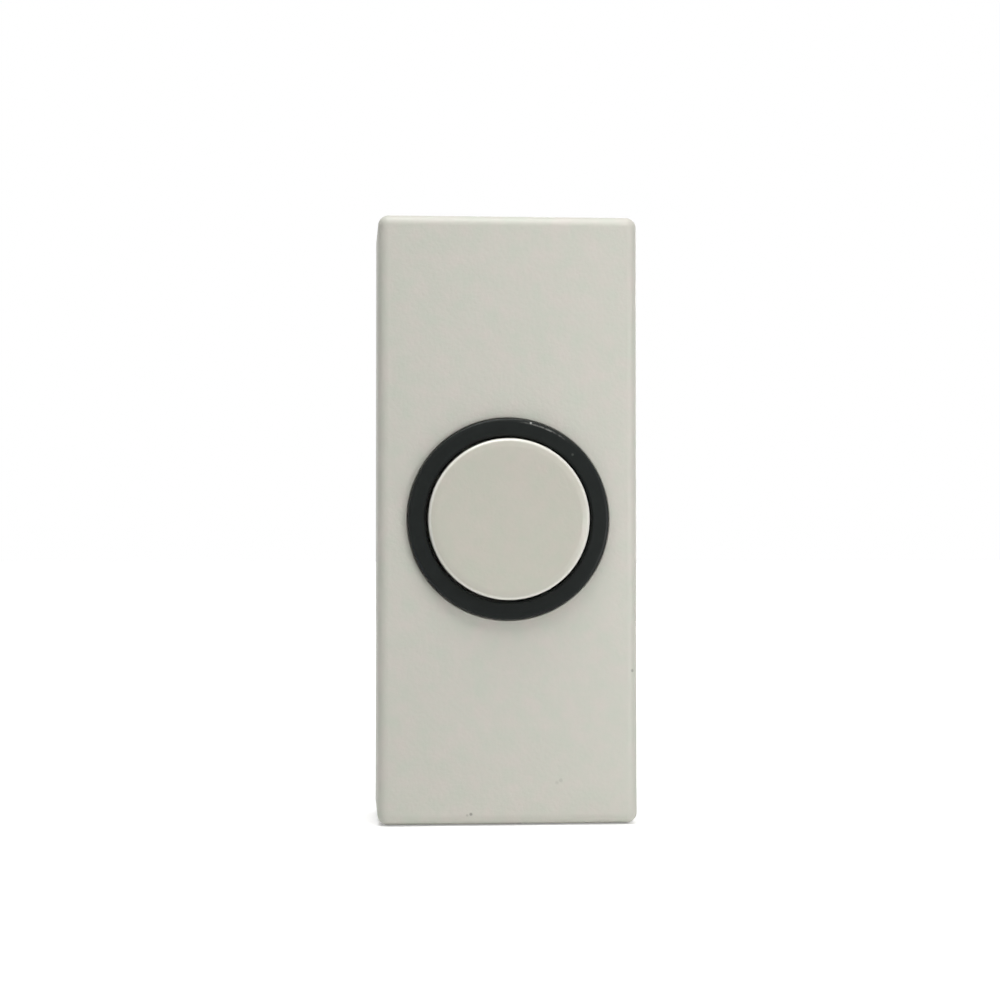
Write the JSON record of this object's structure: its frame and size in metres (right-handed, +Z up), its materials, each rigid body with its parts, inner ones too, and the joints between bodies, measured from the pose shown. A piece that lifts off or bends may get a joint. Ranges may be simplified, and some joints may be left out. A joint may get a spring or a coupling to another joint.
{
  "type": "door exit button",
  "caption": "Narrow wall-mounted push-to-exit button: pale moulded case, black trim ring, round sprung cap working a changeover contact with screw terminals.",
  "frame": {"origin": "centre of the back plate's face on the wall, behind the middle of the button", "axes": "+Z up the wall, +Y into the wall, so the button faces -Y, +X to the right seen from the front"},
  "size_m": [0.03, 0.017, 0.07],
  "materials": {
    "case_plastic": "fine matt",
    "ring_plastic": "satin",
    "cap_plastic": "satin",
    "plate_plastic": "matt",
    "spring_steel": "drawn wire",
    "bronze": "rolled phosphor bronze",
    "brass": "stamped",
    "silver": "polished silver",
    "zinc_steel": "zinc plated"
  },
  "bodies": {
    "housing": {"front_cover": "case_plastic", "trim_ring": "ring_plastic", "return_spring": "spring_steel", "back_plate": "plate_plastic", "common_leaf": "bronze", "normally_open_strip": "brass", "normally_closed_strip": "brass", "normally_open_contact": "silver", "normally_closed_contact": "silver", "common_rivet": "brass", "common_insert": "brass", "common_clamp": "zinc_steel", "common_screw": "zinc_steel", "normally_open_rivet": "brass", "normally_open_insert": "brass", "normally_open_clamp": "zinc_steel", "normally_open_screw": "zinc_steel", "normally_closed_rivet": "brass", "normally_closed_insert": "brass", "normally_closed_clamp": "zinc_steel", "normally_closed_screw": "zinc_steel"},
    "push_button": {"button_cap": "cap_plastic"},
    "contact_arm": {"moving_contact": "silver"}
  },
  "joints": [
    {"name": "button_press", "type": "slide", "parent": "housing", "child": "push_button", "axis": [0, 1, 0], "range_m": [0, 0.0015], "stiffness_N_per_m": 800, "springref_m": -0.003, "deforming": ["return_spring"]},
    {"name": "leaf_flex", "type": "hinge", "parent": "housing", "child": "contact_arm", "pos_m": [-0.008, -0.00583, 0], "axis": [0, 0, 1], "range_deg": [0, 10.84], "deforming": ["common_leaf"]}
  ],
  "couplings": [
    {"joint": "leaf_flex", "follows": "button_press", "rad_per_m": 126.05}
  ]
}
